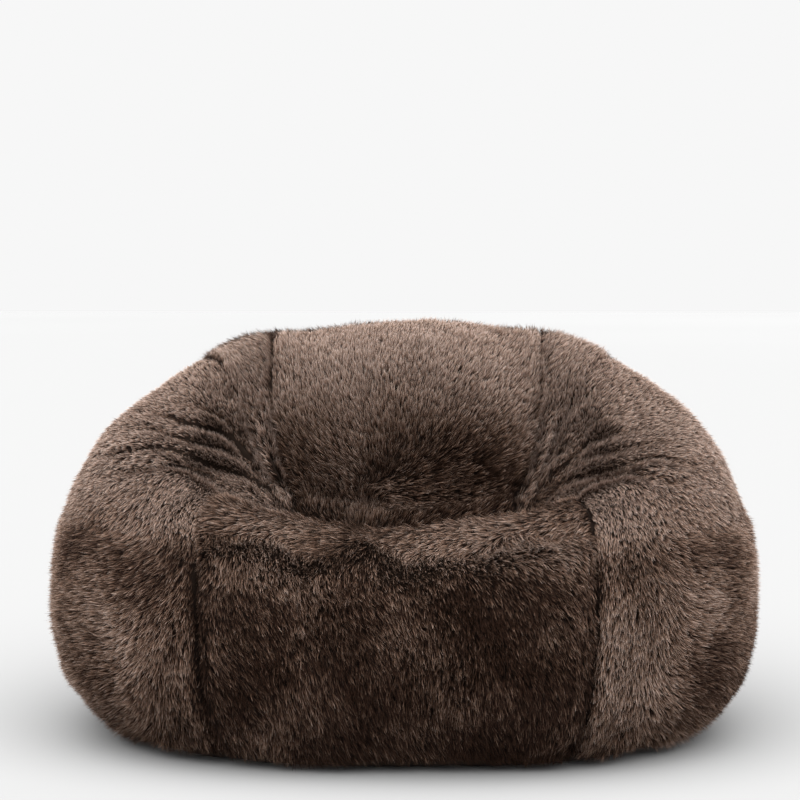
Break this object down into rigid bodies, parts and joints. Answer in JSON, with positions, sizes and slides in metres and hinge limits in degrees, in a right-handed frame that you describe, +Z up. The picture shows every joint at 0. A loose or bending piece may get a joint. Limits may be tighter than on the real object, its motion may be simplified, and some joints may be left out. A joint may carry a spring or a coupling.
{
  "type": "bean bag chair",
  "caption": "Wide bean bag armchair with a long-pile faux fur cover, a bowl seat, a backrest lobe, wrap-round arms, a rear zip and a bead-filled inner liner.",
  "frame": {"origin": "on the floor under the centre of the chair, at the bottom centre of its bounding box", "axes": "+Z up; the front faces -Y and the backrest is towards +Y; +X runs along the width, to the right of someone looking at the front"},
  "size_m": [1.1088, 0.8938, 0.6446],
  "materials": {
    "faux_fur": "long-pile brown faux fur on a knitted backing",
    "base_fabric": "dark woven polyester",
    "zip_tape": "woven tape",
    "zip_teeth": "moulded plastic",
    "zip_metal": "dark plated metal",
    "liner_fabric": "dark taupe woven lining fabric",
    "polystyrene_beads": "expanded polystyrene beads",
    "label_satin": "blank satin label"
  },
  "bodies": {
    "bag": {"front_panel": "faux_fur", "seat_panel": "faux_fur", "backrest_panel": "faux_fur", "left_gusset": "faux_fur", "right_gusset": "faux_fur", "left_side_panel": "faux_fur", "right_side_panel": "faux_fur", "rear_panel": "faux_fur", "rear_hem_panel": "faux_fur", "base_panel": "base_fabric", "cover_zip_tape_upper": "zip_tape", "cover_zip_tape_lower": "zip_tape", "cover_zip_teeth_upper": "zip_teeth", "cover_zip_teeth_lower": "zip_teeth", "cover_zip_top_stop": "zip_metal", "cover_zip_bottom_stop": "zip_metal", "liner_centre_strip": "liner_fabric", "liner_left_side": "liner_fabric", "liner_right_side": "liner_fabric", "liner_rear_upper": "liner_fabric", "liner_rear_lower": "liner_fabric", "liner_base": "liner_fabric", "liner_zip_tape_upper": "zip_tape", "liner_zip_tape_lower": "zip_tape", "liner_zip_teeth_upper": "zip_teeth", "liner_zip_teeth_lower": "zip_teeth", "liner_zip_top_stop": "zip_metal", "liner_zip_bottom_stop": "zip_metal", "bead_filling": "polystyrene_beads", "care_label": "label_satin"},
    "cover_slider": {"cover_zip_slider": "zip_metal"},
    "cover_pull": {"cover_zip_pull_tab": "zip_metal"},
    "liner_slider": {"liner_zip_slider": "zip_metal"}
  },
  "joints": [
    {"name": "cover_zip_travel", "type": "hinge", "parent": "bag", "child": "cover_slider", "pos_m": [0, -0.9137, 0], "axis": [0, 0, 1], "range_deg": [0, 18]},
    {"name": "cover_zip_pull", "type": "hinge", "parent": "cover_slider", "child": "cover_pull", "pos_m": [0.20855, 0.39921, 0.11217], "axis": [0.033, 0.2077, 0.9776], "range_deg": [0, 150]},
    {"name": "liner_zip_travel", "type": "hinge", "parent": "bag", "child": "liner_slider", "pos_m": [0, -0.9137, 0], "axis": [0, 0, 1], "range_deg": [0, 18]}
  ]
}
